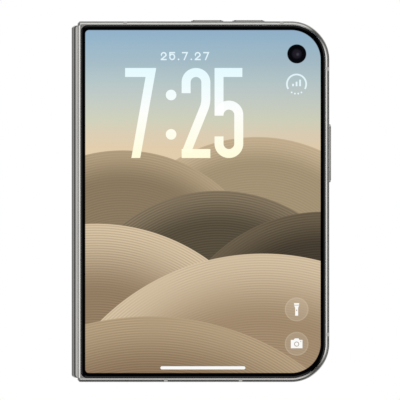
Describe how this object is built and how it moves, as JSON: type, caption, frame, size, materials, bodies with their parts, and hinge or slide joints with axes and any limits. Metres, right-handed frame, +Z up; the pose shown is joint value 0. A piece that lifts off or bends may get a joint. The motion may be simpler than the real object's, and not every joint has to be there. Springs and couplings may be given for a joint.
{
  "type": "foldable smartphone",
  "caption": "Book-style folding phone, folded shut, with a cover display, camera plateau, side buttons and a hinge spine that opens flat.",
  "frame": {"origin": "middle of the base of the folded phone's box, which stands upright on its bottom edge", "axes": "+X towards the free edge, -Y towards the cover display side, +Z up along the spine"},
  "size_m": [0.0868, 0.0116, 0.1211],
  "materials": {
    "frame_metal": "polished",
    "spine_metal": "polished",
    "lip_metal": "polished",
    "antenna_plastic": "satin",
    "cover_glass": "gloss",
    "back_glass": "satin",
    "display": "lit screen",
    "inner_display": "gloss",
    "black_plastic": "matte",
    "lens_black": "gloss",
    "lens_glass": "gloss",
    "flash_lens": "frosted",
    "steel": "brushed",
    "battery_foil": "matte foil",
    "circuit_board": "satin",
    "brass": "satin",
    "magnet": "plated"
  },
  "bodies": {
    "rear_half": {"rear_frame": "frame_metal", "rear_antenna_bands": "antenna_plastic", "rear_hinge_lip": "lip_metal", "back_glass": "back_glass", "camera_plateau": "back_glass", "lens_rings": "lip_metal", "lens_covers": "lens_glass", "wide_camera": "lens_black", "ultrawide_camera": "lens_black", "camera_flash": "flash_lens", "main_battery": "battery_foil", "logic_board": "circuit_board", "board_shields": "steel", "charging_coil": "brass", "usb_c_socket": "steel", "loudspeaker": "black_plastic", "haptic_motor": "steel", "rear_magnets": "magnet", "rear_inner_bezel": "black_plastic", "inner_display_rear": "inner_display", "rear_backing_plate": "steel", "inner_camera": "lens_black", "rear_sync_gears": "brass", "rear_arc_rotors": "steel", "rear_hinge_screws": "steel", "button_switches": "brass", "bottom_screws": "steel"},
    "spine": {"spine_cover": "spine_metal", "spine_end_caps": "spine_metal", "hinge_bearing_plates": "steel", "hinge_bases": "steel", "hinge_pins": "steel", "inner_display_fold": "inner_display"},
    "front_half": {"front_frame": "frame_metal", "front_antenna_bands": "antenna_plastic", "front_hinge_lip": "lip_metal", "cover_glass": "cover_glass", "cover_display": "display", "cover_camera": "lens_black", "earpiece": "black_plastic", "front_battery": "battery_foil", "sub_board": "circuit_board", "front_magnets": "magnet", "front_inner_bezel": "black_plastic", "inner_display_front": "inner_display", "front_backing_plate": "steel", "front_sync_gears": "brass", "front_arc_rotors": "steel", "front_hinge_screws": "steel"},
    "power_button": {"power_button": "lip_metal"},
    "volume_up_button": {"volume_up_button": "lip_metal"},
    "volume_down_button": {"volume_down_button": "lip_metal"}
  },
  "joints": [
    {"name": "spine_fold", "type": "hinge", "parent": "rear_half", "child": "spine", "pos_m": [-0.04055, -0.00013, 0.0603], "axis": [0, 0, -1], "range_deg": [0, 90], "deforming": ["inner_display_fold"]},
    {"name": "front_fold", "type": "hinge", "parent": "spine", "child": "front_half", "pos_m": [-0.04055, -0.00202, 0.0603], "axis": [0, 0, -1], "range_deg": [0, 90]},
    {"name": "power_press", "type": "slide", "parent": "rear_half", "child": "power_button", "axis": [-1, 0, 0], "range_m": [0, 0.0003], "stiffness_N_per_m": 6000},
    {"name": "volume_up_press", "type": "slide", "parent": "rear_half", "child": "volume_up_button", "axis": [0, 0, -1], "range_m": [0, 0.0003], "stiffness_N_per_m": 6000},
    {"name": "volume_down_press", "type": "slide", "parent": "rear_half", "child": "volume_down_button", "axis": [0, 0, -1], "range_m": [0, 0.0003], "stiffness_N_per_m": 6000}
  ],
  "couplings": [
    {"joint": "front_fold", "follows": "spine_fold", "ratio": 1}
  ]
}
